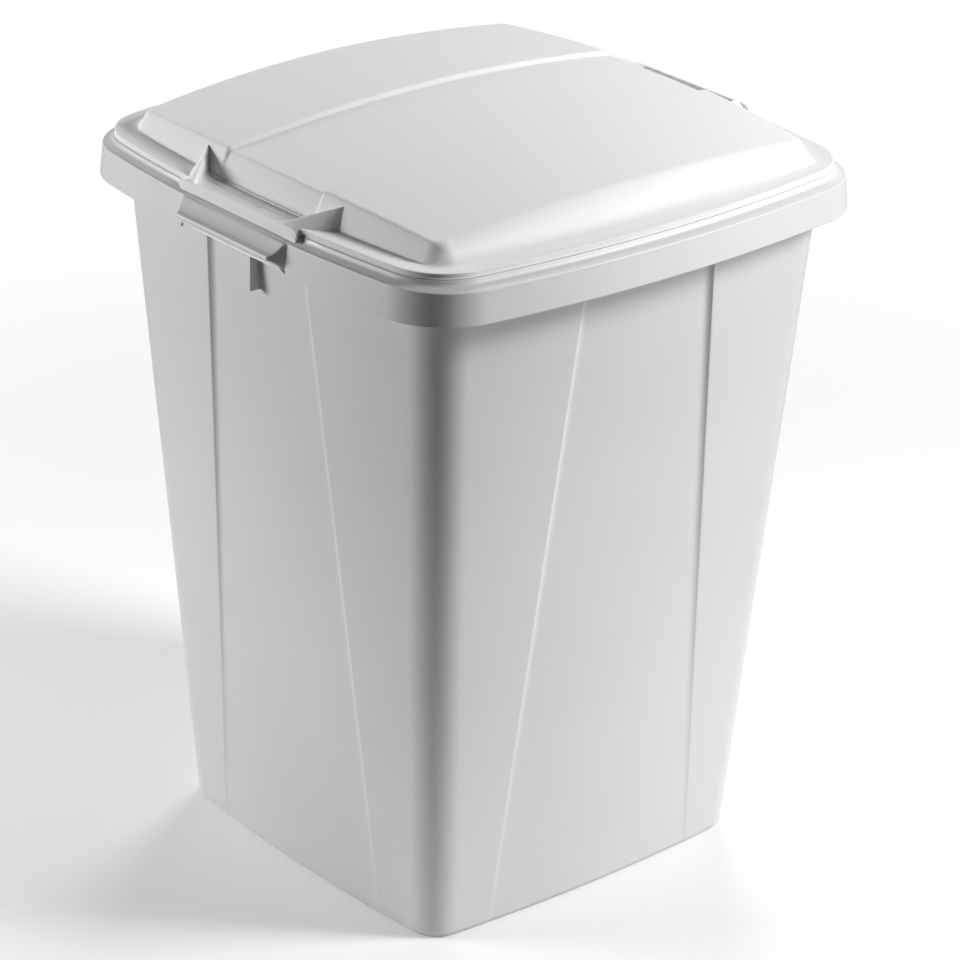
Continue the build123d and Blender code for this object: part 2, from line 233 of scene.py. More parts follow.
def rim_ring(off, z, ledge=None, plan=None, lift=0.0):
    p = (plan or RIM).grow(off)
    ys = rim_cols(p.tan_y)
    xs = p.x_at(ys)
    zs = np.full(len(ys), float(z))
    zs[:I_END + 1] += lift
    if ledge is not None:
        (lx, lz), (nx, nz) = ledge
        y_end = 67.6 - 0.632 * (lx - 240.6)
        k = I_END
        inner = slice(0, k + 1)
        ys[inner] = ys[inner] * (y_end - 0.9) / ys[k]
        # the ledge's inner columns all keep one x, so that its outer edge is straight in the middle
        xs[inner], zs[inner] = lx, lz
        ys[k + 1], xs[k + 1], zs[k + 1] = y_end, lx - 0.55 * nx, lz - 0.55 * nz
        ys[k - 1] = ys[k] - 1.2
        ys[k + 2] = max(67.6 - 0.632 * (float(p.x_at(67.6)) - 240.6) + 0.5, y_end + 0.4)
        xs[k + 2] = p.x_at(ys[k + 2])
        ys[k + 3] = max(ys[k + 3], ys[k + 2] + 1.5)
        xs[k + 3] = p.x_at(ys[k + 3])
    arc = p.arc(ARC_F)
    x2 = rim_cols(p.tan_x)[::-1]
    y2 = p.y_at(x2)
    xy = np.concatenate([np.stack([xs, ys], 1), arc, np.stack([x2, y2], 1)])
    zz = np.concatenate([zs, np.full(len(arc) + len(x2), float(z))])
    return np.column_stack([xy, zz])


def circle_ring(r, z, like):
    a = np.arctan2(like[:, 1], like[:, 0])
    return np.column_stack([r * np.cos(a), r * np.sin(a), np.full(len(a), z)])


def skirt_off(z):
    return lerp(2.9, 0.35, (z - TUB_Z) / 24.7)


LEDGE = [(244.7, 581.2), (245.2, 582.3), (246.0, 583.6), (247.0, 584.9), (248.2, 586.0), (249.6, 587.0), (250.9, 587.75),
         (252.1, 588.25), (253.2, 588.75), (253.95, 589.5), (254.2, 590.45), (253.95, 591.4), (253.2, 592.2), (252.3, 592.7),
         (251.4, 593.0), (250.4, 593.5), (249.3, 594.35), (248.1, 595.5), (246.9, 596.8), (245.7, 598.2), (244.6, 599.55),
         (243.7, 600.7), (243.0, 601.5), (242.4, 602.1), (241.9, 602.45)]


def container_mesh():
    sh = Shell()
    rings = []
    base = tub_ring(0.0, 16.0, at=2.5)
    # underside: sprue mark, a shallow ring, flat recess, standing ring
    for r, z in ((0.0, 1.75), (2.2, 1.75), (2.8, 1.95), (3.1, 2.35), (3.6, 2.5), (17.0, 2.5), (17.5, 2.2), (19.5, 2.2), (20.0, 2.5)):
        rings.append(circle_ring(r, z, base))
    inner = tub_ring(0.0, 18.2, at=2.5)
    circ = circle_ring(20.0, 2.5, base)
    for f in (0.15, 0.3, 0.45, 0.6, 0.75, 0.9):
        rings.append(lerp(circ, inner, f))
    rings += [tub_ring(0.0, 17.6, at=2.5), tub_ring(0.0, 17.0, at=2.3), tub_ring(0.0, 16.7, at=1.9), tub_ring(0.0, 16.3, at=0.6),
              tub_ring(0.0, 16.0, at=0.2), tub_ring(0.0, 15.5, at=0.0), tub_ring(0.0, 12.0, at=0.0), tub_ring(0.0, 8.5, at=0.0)]
    for th in np.radians([0, 12, 24, 36, 48, 60, 72, 82, 90]):
        z = 6.0 * (1 - math.cos(th))
        rings.append(tub_ring(z, 6.0 * (1 - math.sin(th)) + 0.0))
    zs = list(np.linspace(6, 536, 24)[1:])
    for z in zs:
        rings.append(tub_ring(z))
    rings += [tub_ring(537.9), tub_ring(RIB_Z0 - 0.05)]
    r0 = tub_ring(RIB_Z0, rib=True)
    r0[:3, 0] -= 0.45
    rings.append(r0)
    r0 = tub_ring(RIB_Z0 + 0.15, rib=True)
    r0[:3, 0] -= 0.12
    rings.append(r0)
    rings.append(tub_ring(RIB_Z0 + 0.6, rib=True))
    for z in (545, 560, 575, 586, 594, 597.4):
        rings.append(tub_ring(z, rib=True))
    for out, z in ((0.25, 598.6), (0.8, 599.5), (1.6, 599.9), (2.6, 600.0)):
        r = tub_ring(z, -out)
        r[:3, 0] = np.maximum(r[:3, 0], RIB_OUT + 0.2 * out)
        rings.append(r)
    # under the shoulder plate, the skirt's inner face, its lower edge
    for off, z in ((-4.6, 600.0), (-3.5, 599.85), (-2.6, 599.3), (-2.2, 598.5), (-2.05, 597.5), (-1.2, 590.0), (-0.3, 583.0), (0.45, 577.2), (0.58, 576.2), (0.85, 575.75),
                   (1.3, 575.6), (2.2, 575.6), (2.6, 575.72), (2.83, 576.1), (skirt_off(576.8), 576.8), (skirt_off(577.8), 577.8), (skirt_off(578.6), 578.6)):
        rings.append(rim_ring(off, z, lift=float(np.interp(z, [575.6, 576.2, 578.6, 583.0], [4.0, 4.0, 2.3, 0.0]))))
    prof = np.array(LEDGE)
    tang = np.gradient(prof, axis=0)
    tang /= np.linalg.norm(tang, axis=1)[:, None]
    norm = np.stack([tang[:, 1], -tang[:, 0]], 1)
    kk = len(LEDGE)
    for k, (lx, lz) in enumerate(LEDGE):
        z = lerp(579.2, 601.3, k / (kk - 1))
        rings.append(rim_ring(skirt_off(min(z, 600.3)) - 0.03 * max(z - 600.3, 0), z, ledge=((lx, lz), norm[k])))
    # rim edge, gently sloping shoulder
    for off, z in ((0.24, 601.75), (0.12, 602.0), (-0.14, 602.37), (-0.5, 602.62), (-0.95, 602.74), (-1.1, 602.79), (-2.0, 603.08)):
        rings.append(rim_ring(off, z))
    # cove up to the bead, the bead, and down inside it
    out = rim_ring(-2.0, 603.08)
    foot = bead_ring((4.6, 604.5), (4.6, 603.55))
    rings.append(lerp(out, foot, 0.5))
    rings.append(foot)
    for o, st in (((3.6, 605.1), (4.1, 603.62)), ((2.95, 605.7), (3.2, 603.85)), ((2.5, 606.3), (2.3, 604.4)), ((2.15, 606.9), (1.6, 605.2)),
                  ((1.4, 608.5), (1.0, 606.6)), ((1.24, 608.78), (0.95, 608.4)), ((1.05, 609.02), (0.92, 608.75)), ((0.8, 609.2), (0.78, 609.1)),
                  ((0.5, 609.32), (0.5, 609.3))):
        rings.append(bead_ring(o, st))
    for off, z in ((0.1, 609.38), (-0.1, 609.4), (-3.9, 609.4),
                   (-4.05, 609.4), (-4.4, 609.32), (-4.7, 609.1), (-4.87, 608.8), (-4.9, 608.4), (-4.9, 605.5), (-4.9, 604.2), (-5.05, 603.3), (-5.5, 602.75), (-6.2, 602.5)):
        rings.append(rim_ring(off, z, plan=SEAT))
    # inside
    rings += [tub_ring(602.5, 1.4), tub_ring(602.4, 1.9), tub_ring(602.1, 2.3), tub_ring(601.5, 2.5)]
    for z in list(np.linspace(598, 10.7, 26)):
        rings.append(tub_ring(z, 2.5))
    for th in np.radians([15, 30, 45, 60, 75, 90]):
        z = 10.7 - 5.0 * math.sin(th)
        rings.append(tub_ring(z, 2.5 + 5.0 * (1 - math.cos(th))))
    last = rings[-1]
    circ = circle_ring(24.0, 5.7, last)
    for f in (0.08, 0.25, 0.5, 0.75, 1.0):
        rings.append(lerp(last, circ, f))
    for r, z in ((8.0, 5.7), (3.4, 5.7), (3.0, 5.3), (0.0, 5.3)):
        rings.append(circle_ring(r, z, last))
    sh.grid(np.stack(rings))
    ob = sh.build("container_body")
    return ob


# ------------------------------------------------------------------ lid
Z0, Z1, Z2 = 609.7, 613.1, 614.4          # underside of the brim, its top at the dome and at its edge
DOME_A, DOME_B, DOME_R, DOME_SAG_Y, DOME_SAG_X = 211.4, 208.8, 11.0, 13.5, 13.9
TOP_A, TOP_B, TOP_Z, TOP_SAG_X = 201.5, 200.2, 636.5, 18.0
CROWN_Z, CROWN_KX, CROWN_KY = 649.1, 3.17e-4, 2.6e-4
BAND_Y, BAND_D = 60.9, 3.4
SKIN = 2.5

Y_ABS = np.array([0, 7, 14, 21, 28, 35, 41, 46, 50, 53, 55.3, 56.9, 58.1, 58.9, 59.6, 60.2, 60.9, 61.6, 62.2, 62.9, 63.7, 64.9, 66.5, 69, 73, 78, 84, 90, 97.0])
X_ABS = np.array([0, 8, 16, 24, 32, 40, 48, 56, 64, 72, 80, 88, 97.0])
LID_OUT = np.array([0.1, 0.2, 0.3, 0.4, 0.5, 0.6, 0.7, 0.79, 0.87, 0.93, 0.97, 1.0])
HALF = 8
LARC = np.arange(1, 2 * HALF) / (2 * HALF)


def lid_cols(base, tan):
    return np.concatenate([base, base[-1] + (tan - base[-1]) * LID_OUT])


NY = len(Y_ABS) + len(LID_OUT) - 1 + HALF      # index of the corner's middle column
NX = len(X_ABS) + len(LID_OUT) - 1 + HALF


def lid_ring(p):
    ys = lid_cols(Y_ABS, p.tan_y)
    xs2 = lid_cols(X_ABS, p.tan_x)[::-1]
    return np.concatenate([np.stack([p.x_at(ys), ys], 1), p.arc(LARC), np.stack([xs2, p.y_at(xs2)], 1)])


def at_z(xy, z):
    return np.column_stack([xy, np.full(len(xy), float(z)) if np.isscalar(z) else z])


def band(y):
    """How much of the band's sinking is there at y: 1 inside, 0 outside, rounded over at both edges of the step."""
    return 1.0 - smooth(np.abs(y), BAND_Y - 2.0, BAND_Y + 2.0)


def crown(x, y, drop=0.0):
    return CROWN_Z - drop - CROWN_KX * x * x - CROWN_KY * y * y - BAND_D * band(y)


N_COL = NY + NX + 1
SIDE_DIR = np.zeros((N_COL, 2))
_k = np.arange(N_COL)
_c0, _c1 = NY - HALF, NY + HALF
_a = np.clip((_k - _c0) / (_c1 - _c0), 0, 1) * math.pi / 2
SIDE_DIR[:, 0], SIDE_DIR[:, 1] = -np.cos(_a), -np.sin(_a)
ON_X = np.where(_k <= _c0, 1.0, 0.0)
CORNER = np.clip((_k - _c0) / (_c1 - _c0), 0, 1)
BRIM_Z = Z1 + 1.3 * smooth(CORNER, 0.0, 1.0)          # top of the brim at the dome's foot: lower on the grips' sides


def dome_wall(inset, drop, edge_x, edge_y, foot_x, foot_y):
    """Rings of the dome from the crown's edge down to the brim, and the crown's edge itself."""
    lean = Plan.bowed(DOME_A, DOME_B, DOME_R + 10.0, DOME_SAG_Y, DOME_SAG_X).grow(-inset)
    top = Plan.bowed(TOP_A, TOP_B, DOME_R + 1.0, DOME_SAG_Y, TOP_SAG_X).grow(-inset)
    F, T = lid_ring(lean), lid_ring(top)
    zf = BRIM_Z if inset == 0 else np.full(N_COL, Z0)

    def wall(z):
        z = np.asarray(z, float) * np.ones(N_COL)
        w = F + (T - F) * ((z - Z1) / (TOP_Z - Z1))[:, None]
        rec = BAND_D * np.clip((z - 615.5) / (635.0 - 615.5), 0, 1.2) * band(w[:, 1]) * ON_X
        return np.column_stack([w[:, 0] - rec, w[:, 1], z])

    z = np.full(N_COL, 638.0)
    for _ in range(30):
        w = wall(z)
        z = crown(w[:, 0], w[:, 1], drop)
    e = wall(z)
    up = e - wall(z - 1.0)
    up /= np.linalg.norm(up, axis=1)[:, None]
    q = e[:, :2] + SIDE_DIR
    c = np.column_stack([SIDE_DIR, crown(q[:, 0], q[:, 1], drop) - z])
    c /= np.linalg.norm(c, axis=1)[:, None]
    phi = np.arccos(np.clip((up * c).sum(1), -1, 1))
    r = lerp(edge_x, edge_y, smooth(CORNER, 0.0, 1.0))
    L = r * np.tan(phi / 2)
    p0 = e - up * L[:, None]
    p0z = wall(p0[:, 2])
    p0 = p0z
    p2 = e + c * L[:, None]
    p2[:, 2] = crown(p2[:, 0], p2[:, 1], drop)
    rings = []
    w = np.cos(phi / 2)[:, None]
    for u in np.linspace(1, 0, 8):
        den = (1 - u) ** 2 + 2 * u * (1 - u) * w + u * u
        rings.append(((1 - u) ** 2 * p0 + 2 * u * (1 - u) * w * e + u * u * p2) / den)
    # foot fillet
    up0 = wall(zf + 1.0) - wall(zf)
    up0 /= np.linalg.norm(up0, axis=1)[:, None]
    out = np.column_stack([-SIDE_DIR, np.zeros(N_COL)])
    phi = np.arccos(np.clip(-(up0 * out).sum(1), -1, 1))
    L = lerp(foot_x, foot_y, smooth(CORNER, 0.2, 1.0)) * np.tan(phi / 2)
    foot = wall(zf)
    f0 = foot + up0 * L[:, None]
    f2 = foot + out * L[:, None]
    for f in (0.12, 0.25, 0.4, 0.55, 0.7, 0.85):
        rings.append(wall(lerp(p0[:, 2], f0[:, 2], f)))
    w = np.cos(phi / 2)[:, None]
    for u in np.linspace(0, 1, 5):
        den = (1 - u) ** 2 + 2 * u * (1 - u) * w + u * u
        rings.append(((1 - u) ** 2 * f0 + 2 * u * (1 - u) * w * foot + u * u * f2) / den)
    return rings


def crown_grid(edge, drop):
    """Fills the crown inside its edge; rows run straight along X so that the band's steps stay crisp."""
    right = edge[:NY + 1]
    top = edge[NY:][::-1]              # from x = 0 to the corner
    j0 = len(Y_ABS) - 1
    ub = top[:, 0] / top[-1, 0]
    yl = right[:, 1].copy()
    k = yl > yl[j0]
    yl[k] = yl[j0] + (yl[k] - yl[j0]) * (top[0, 1] - yl[j0]) / (right[-1, 1] - yl[j0])
    P = np.zeros((NY + 1, NX + 1, 3))
    for j in range(j0 + 1):
        P[j, :, 0] = right[j, 0] * ub
        P[j, :, 1] = right[j, 1]
    v = (yl[j0:] - yl[j0]) / (yl[-1] - yl[j0])
    bot = np.column_stack([right[j0, 0] * ub, np.full(NX + 1, right[j0, 1])])
    for m, j in enumerate(range(j0, NY + 1)):
        vv = v[m]
        rgt = right[j, :2]
        lft = np.array([0.0, yl[j]])
        u = ub[:, None]
        corner = ((1 - u) * (1 - vv) * bot[0] + u * (1 - vv) * bot[-1] + (1 - u) * vv * top[0, :2] + u * vv * top[-1, :2])
        P[j, :, :2] = (1 - vv) * bot + vv * top[:, :2] + (1 - u) * lft + u * rgt - corner
    P[:, :, 2] = crown(P[:, :, 0], P[:, :, 1], drop)
    P[:, -1] = right
    P[-1, :] = top
    return P


def lid_shell():
    sh = Shell()
    outer = dome_wall(0.0, 0.0, 4.6, 13.0, 0.8, 11.0)
    inner = dome_wall(SKIN, SKIN, 2.1, 10.5, 1.2, 1.2)
    sh.grid(crown_grid(outer[0], 0.0))
    rings = list(outer)
    ya = np.abs(lid_ring(SEAT)[:, 1])

    def brim(off, z, sink=0.0, lim=60.0):
        """Ring of the brim; sink lowers it inside the grip pockets, up to lim from the middle."""
        r = lid_ring(SEAT.grow(off))
        return at_z(r, z - sink * (1.0 - smooth(ya, lim, lim + 3.0)) * ON_X)

    edge0 = brim(-0.95, Z2 - 0.02)
    for f, sink, lim in ((0.03, 0.0, 70), (0.06, 1.4, 69), (0.3, 1.45, 67), (0.46, 1.5, 65), (0.5, 2.2, 64), (0.7, 2.4, 62), (0.9, 2.6, 60)):
        r = lerp(outer[-1] if f < 0.05 else foot, edge0, f)
        if f < 0.05:
            foot = outer[-1]
        r[:, 2] = lerp(BRIM_Z, Z2, smooth(f, 0.0, 1.1)) - sink * (1.0 - smooth(ya, lim, lim + 3.0)) * ON_X
        rings.append(r)
    for off, z, sink in ((-1.0, Z2 - 0.02, 2.8), (-0.8, Z2 - 0.02, 2.8), (-0.5, Z2 - 0.1, 2.8), (-0.23, Z2 - 0.28, 2.7), (-0.06, Z2 - 0.52, 2.5), (0.0, Z2 - 0.8, 2.3),
                         (0.0, Z2 - 0.95, 2.2), (0.0, 611.9, 0.9), (0.0, 611.3, 0.4), (0.05, 610.9, 0.1), (0.17, 610.6, 0), (0.36, 610.36, 0), (0.56, 610.18, 0), (0.68, 610.02, 0),
                         (0.7, 609.9, 0), (0.62, 609.76, 0), (0.45, Z0, 0), (0.2, Z0, 0), (-2.0, Z0, 0)):
        rings.append(brim(off, z, sink))
    for off, z in ((-4.8, Z0), (-5.3, Z0 - 0.08), (-5.55, Z0 - 0.35), (-5.6, Z0 - 0.9), (-5.6, 606.5), (-5.7, 604.0), (-5.85, 603.6), (-6.3, 603.4), (-7.1, 603.4), (-7.6, 603.6),
                   (-7.8, 604.0), (-8.0, 606.5), (-8.0, Z0 - 0.9), (-8.1, Z0 - 0.35), (-8.45, Z0 - 0.08), (-9.2, Z0)):
        rings.append(at_z(lid_ring(SEAT.grow(off)), z))
    a, b = rings[-1], inner[-1]
    for f in (0.3, 0.65):
        rings.append(lerp(a, b, f))
    rings += inner[::-1]
    sh.grid(np.stack(rings), flip=True)
    sh.grid(crown_grid(inner[0], SKIN), flip=True)
    return sh.build("lid_shell")


# ------------------------------------------------------------------ grips
def closed_loft(sections, name):
    """Closed solid through sections, each a closed loop of as many points."""
    s = np.asarray(sections, float)
    rows, cols = s.shape[:2]
    idx = np.arange(rows * cols).reshape(rows, cols)
    f = []
    for r in range(rows - 1):
        for c in range(cols):
            d = (c + 1) % cols
            f.append([int(idx[r, c]), int(idx[r, d]), int(idx[r + 1, d]), int(idx[r + 1, c])])
    f.append([int(i) for i in idx[0][::-1]])
    f.append([int(i) for i in idx[-1]])
    ob = mesh_object(name, s.reshape(-1, 3) * MM, f)
    fix_normals(ob)
    return ob


def fix_normals(ob):
    import bmesh

    bm = bmesh.new()
    bm.from_mesh(ob.data)
    bmesh.ops.recalc_face_normals(bm, faces=bm.faces)
    if bm.calc_volume(signed=True) < 0:
        bmesh.ops.reverse_faces(bm, faces=bm.faces)
    bm.to_mesh(ob.data)
    bm.free()


def web_section(x, lower):
    """Section of a grip's flared web at x, for +X and +Y, as (y, z) points: inner foot, inner top, rounded top, outer slope."""
    yt = 88.0 - 0.812 * (x - 200.0)
    zt = 630.6 - 0.3636 * (x - 200.0)
    yi = float(np.interp(x, [196, 210, 222, 232, 240], [84.0, 73.5, 66.0, 60.4, 54.6]))
    yf = float(np.interp(x, [196, 204, 209, 216, 222, 229, 235, 239], [99.0, 96.0, 93.5, 89.6, 86.0, 81.5, 77.4, 74.6]))
    z0 = float(np.interp(x, [196, 216, 226, 231.5], [611.0, 610.5, 607.5, 604.9]))
    n = float(np.interp(x, [196, 210, 222, 232, 239], [1.06, 1.1, 1.2, 1.35, 1.5]))
    half = 0.7
    pts = [(yi + 0.4, lower), (yi, 612.0), (yt - half, zt - 0.7), (yt - half * 0.7, zt - 0.2), (yt, zt)]
    v_end = max((lower - z0) / (zt - z0), 0.0)
    th_end = math.acos(min(v_end ** (n / 2), 1.0))
    for k in range(1, 19):
        th = th_end * k / 18
        pts.append((yt + 0.4 + (yf - yt - 0.4) * math.sin(th) ** (2 / n), z0 + (zt - z0) * max(math.cos(th), 0.0) ** (2 / n)))
    return [(x, y, z) for y, z in pts]


def plate_outline(low=604.7, top=615.5, flat=65.5, end=75.6):
    """Outline of a grip's lip seen along X: long, with large rounded ends."""
    arc = []
    for k in range(15):
        th = math.pi / 2 * k / 14
        arc.append((flat + (end - flat) * math.cos(th) ** 0.9, low + 1.2 + (top - low - 1.2) * math.sin(th) ** 0.9))
    right = [(end - 1.2, low), (end - 0.3, low + 0.35)] + arc
    left = [(-y, z) for y, z in right[::-1]]
    return np.array([(-40.0, low), (0.0, low), (40.0, low)] + right + [(40.0, top), (0.0, top), (-40.0, top)] + left)


def grip_parts():
    obs = []
    for sx in (1, -1):
        for sy in (1, -1):
            sec = []
            for x, low in ((195.5, 610.4), (199.0, 610.4), (204.0, 610.4), (208.0, 610.4), (212.0, 610.4), (216.0, 610.4), (220.0, 610.4), (224.0, 610.4), (228.0, 610.4),
                           (231.0, 610.4), (234.15, 610.4), (234.2, 607.3), (235.1, 606.0), (236.1, 605.0), (237.2, 604.9), (238.7, 604.9)):
                sec.append([(sx * px, sy * py, pz) for px, py, pz in web_section(x, low)])
            obs.append(closed_loft(sec, "web"))
    o = plate_outline()

    def inset(d):
        t = np.roll(o, -1, 0) - np.roll(o, 1, 0)
        t /= np.linalg.norm(t, axis=1)[:, None]
        return o + np.stack([-t[:, 1], t[:, 0]], 1) * d

    def front(z):
        return 238.2 + 2.9 * (z - 604.7) / 10.8

    for sx in (1, -1):
        sec = []
        for d, back in ((0.55, 0.0), (0.25, 0.06), (0.06, 0.25), (0.0, 0.55), (0.0, 1.8), (0.08, 2.0), (0.3, 2.15)):
            q = inset(d)
            sec.append([(sx * (front(z) - back), y, z) for y, z in q])
        obs.append(closed_loft(sec, "lip"))
        # pocket floor between the brim's edge and the lip
        fl = [(229.0, 609.95), (229.0, 611.1), (235.6, 611.35), (236.8, 611.6), (237.6, 612.1), (238.3, 613.0), (238.9, 611.5), (237.8, 607.6), (236.9, 606.2), (235.9, 606.2), (235.7, 609.95)]
        sec = []
        for y in (-71.0, -50.0, -30.0, 0.0, 30.0, 50.0, 71.0):
            sec.append([(sx * x, y, z) for x, z in fl])
        obs.append(closed_loft(sec, "pocket"))
    return obs


def gate_marks():
    """Small round recess with a pip in each pocket floor, left by moulding."""
    obs = []
    for sx in (1, -1):
        sec = []
        for r, z in ((2.3, 616.0), (2.2, 611.2), (1.9, 610.9), (0.9, 610.9), (0.75, 611.6), (0.3, 611.8)):
            sec.append([(sx * 225.2 + r * math.cos(2 * math.pi * k / 20), -10.5 + r * math.sin(2 * math.pi * k / 20), z) for k in range(20)])
        obs.append(closed_loft(sec, "mark"))
    return obs


def join(obs, name):
    import bmesh

    bm = bmesh.new()
    for o in obs:
        bm.from_mesh(o.data)
    me = bpy.data.meshes.new(name)
    bm.to_mesh(me)
    bm.free()
    for o in obs:
        m = o.data
        bpy.data.objects.remove(o)
        bpy.data.meshes.remove(m)
    ob = bpy.data.objects.new(name, me)
    bpy.context.collection.objects.link(ob)
    return ob


def boolean(ob, other, op="UNION"):
    m = ob.modifiers.new("b", "BOOLEAN")
    m.operation, m.solver, m.object = op, "MANIFOLD", other
    apply_all(ob)
    me = other.data
    bpy.data.objects.remove(other)
    bpy.data.meshes.remove(me)


def clean(ob):
    import bmesh

    bm = bmesh.new()
    bm.from_mesh(ob.data)
    bmesh.ops.remove_doubles(bm, verts=bm.verts, dist=2e-6)
    bmesh.ops.dissolve_degenerate(bm, dist=1e-6, edges=bm.edges)
    bm.to_mesh(ob.data)
    bm.free()


def lid_mesh():
    lid = lid_shell()
    obs = grip_parts()
    grips = obs[0]
    for o in obs[1:]:
        boolean(grips, o)
    boolean(lid, grips)
    for o in gate_marks():
        boolean(lid, o, "DIFFERENCE")
    clean(lid)
    lid.name = "lid_cover"
    lid.data.name = "lid_cover"
    return lid


# ------------------------------------------------------------------ materials
def plastic(name, base, rough, grain, seed):
    """Moulded satin plastic: even colour with a faint cloudiness, very fine grain, soft handling marks."""
    m = bpy.data.materials.new(name)
    m.use_nodes = True
    nt = m.node_tree
    nt.nodes.clear()
    N, Lk = nt.nodes.new, nt.links.new
    out = N("ShaderNodeOutputMaterial")
    bs = N("ShaderNodeBsdfPrincipled")
    Lk(bs.outputs["BSDF"], out.inputs["Surface"])
    bs.inputs["IOR"].default_value = 1.49
    bs.inputs["Specular IOR Level"].default_value = 0.5
    tc = N("ShaderNodeTexCoord")
    # cloudiness of the colour
    n1 = N("ShaderNodeTexNoise")
    n1.inputs["Scale"].default_value = 5.5
    n1.inputs["Detail"].default_value = 4.0
    Lk(tc.outputs["Object"], n1.inputs["Vector"])
    r1 = N("ShaderNodeValToRGB")
    r1.color_ramp.elements[0].position, r1.color_ramp.elements[1].position = 0.3, 0.7
    r1.color_ramp.elements[0].color = [c * 0.975 for c in base] + [1]
    r1.color_ramp.elements[1].color = [min(c * 1.02, 1) for c in base] + [1]
    Lk(n1.outputs["Fac"], r1.inputs["Fac"])
    # specks
    n2 = N("ShaderNodeTexNoise")
    n2.inputs["Scale"].default_value = 900.0
    n2.inputs["Detail"].default_value = 2.0
    Lk(tc.outputs["Object"], n2.inputs["Vector"])
    r2 = N("ShaderNodeMapRange")
    r2.inputs["From Min"].default_value, r2.inputs["From Max"].default_value = 0.3, 0.7
    r2.inputs["To Min"].default_value, r2.inputs["To Max"].default_value = 0.985, 1.01
    Lk(n2.outputs["Fac"], r2.inputs["Value"])
    mx = N("ShaderNodeVectorMath")
    mx.operation = "SCALE"
    Lk(r1.outputs["Color"], mx.inputs[0])
    Lk(r2.outputs["Result"], mx.inputs["Scale"])
    Lk(mx.outputs["Vector"], bs.inputs["Base Color"])
    # roughness: cloudy, with long soft rub marks
    mp = N("ShaderNodeMapping")
    mp.inputs["Scale"].default_value = (60.0, 60.0, 4.0)
    mp.inputs["Location"].default_value = (seed, seed * 0.7, 0)
    Lk(tc.outputs["Object"], mp.inputs["Vector"])
    n3 = N("ShaderNodeTexNoise")
    n3.inputs["Scale"].default_value = 1.0
    n3.inputs["Detail"].default_value = 5.0
    Lk(mp.outputs["Vector"], n3.inputs["Vector"])
    r3 = N("ShaderNodeMapRange")
    r3.inputs["From Min"].default_value, r3.inputs["From Max"].default_value = 0.25, 0.75
    r3.inputs["To Min"].default_value, r3.inputs["To Max"].default_value = rough - 0.03, rough + 0.04
    Lk(n3.outputs["Fac"], r3.inputs["Value"])
    Lk(r3.outputs["Result"], bs.inputs["Roughness"])
    # grain
    n4 = N("ShaderNodeTexNoise")
    n4.inputs["Scale"].default_value = 1500.0
    n4.inputs["Detail"].default_value = 3.0
    Lk(tc.outputs["Object"], n4.inputs["Vector"])
    n5 = N("ShaderNodeTexNoise")
    n5.inputs["Scale"].default_value = 26.0
    n5.inputs["Detail"].default_value = 2.0
    Lk(tc.outputs["Object"], n5.inputs["Vector"])
    b1 = N("ShaderNodeBump")
    b1.inputs["Strength"].default_value = 0.35
    b1.inputs["Distance"].default_value = grain
    Lk(n4.outputs["Fac"], b1.inputs["Height"])
    b2 = N("ShaderNodeBump")
    b2.inputs["Strength"].default_value = 0.3
    b2.inputs["Distance"].default_value = 0.00025
    Lk(n5.outputs["Fac"], b2.inputs["Height"])
    Lk(b1.outputs["Normal"], b2.inputs["Normal"])
    Lk(b2.outputs["Normal"], bs.inputs["Normal"])
    return m


mat_container = plastic("container_plastic_grained", (0.64, 0.64, 0.635), 0.42, 0.00006, 3.1)
mat_lid = plastic("lid_plastic_grained", (0.66, 0.66, 0.655), 0.40, 0.00005, 8.7)

# ------------------------------------------------------------------ the object
body = container_mesh()
shade(body, 40)
firm_normals(body)
body.data.materials.append(mat_container)
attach(body, "container")
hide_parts("container")

lid = lid_mesh()
shade(lid, 30)
firm_normals(lid)
lid.data.materials.append(mat_lid)
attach(lid, "lid")
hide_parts("lid")

# ------------------------------------------------------------------ stage
sc = bpy.context.scene
sc.view_settings.view_transform = "Standard"
sc.view_settings.look = "None"
sc.view_settings.exposure = 0.0
sc.view_settings.gamma = 1.0


def flat_material(name, col, rough=0.9):
    m = bpy.data.materials.new(name)
    m.use_nodes = True
    b = m.node_tree.nodes["Principled BSDF"]
    b.inputs["Base Color"].default_value = (*col, 1)
    b.inputs["Roughness"].default_value = rough
    b.inputs["Specular IOR Level"].default_value = 0.1
    return m


def disc(name, radius, z, segments=96):
    v = [(0, 0, z)] + [(radius * math.cos(2 * math.pi * k / segments), radius * math.sin(2 * math.pi * k / segments), z) for k in range(segments)]
    f = [(0, k + 1, (k + 1) % segments + 1) for k in range(segments)]
    me = bpy.data.meshes.new(name)
    me.from_pydata(v, [], f)
    ob = bpy.data.objects.new(name, me)
    bpy.context.collection.objects.link(ob)
    return ob


def glow_material(name, strength):
    m = bpy.data.materials.new(name)
    m.use_nodes = True
    nt = m.node_tree
    nt.nodes.clear()
    e = nt.nodes.new("ShaderNodeEmission")
    e.inputs["Color"].default_value = (1, 1, 1, 1)
    e.inputs["Strength"].default_value = strength
    o = nt.nodes.new("ShaderNodeOutputMaterial")
    nt.links.new(e.outputs["Emission"], o.inputs["Surface"])
    return m


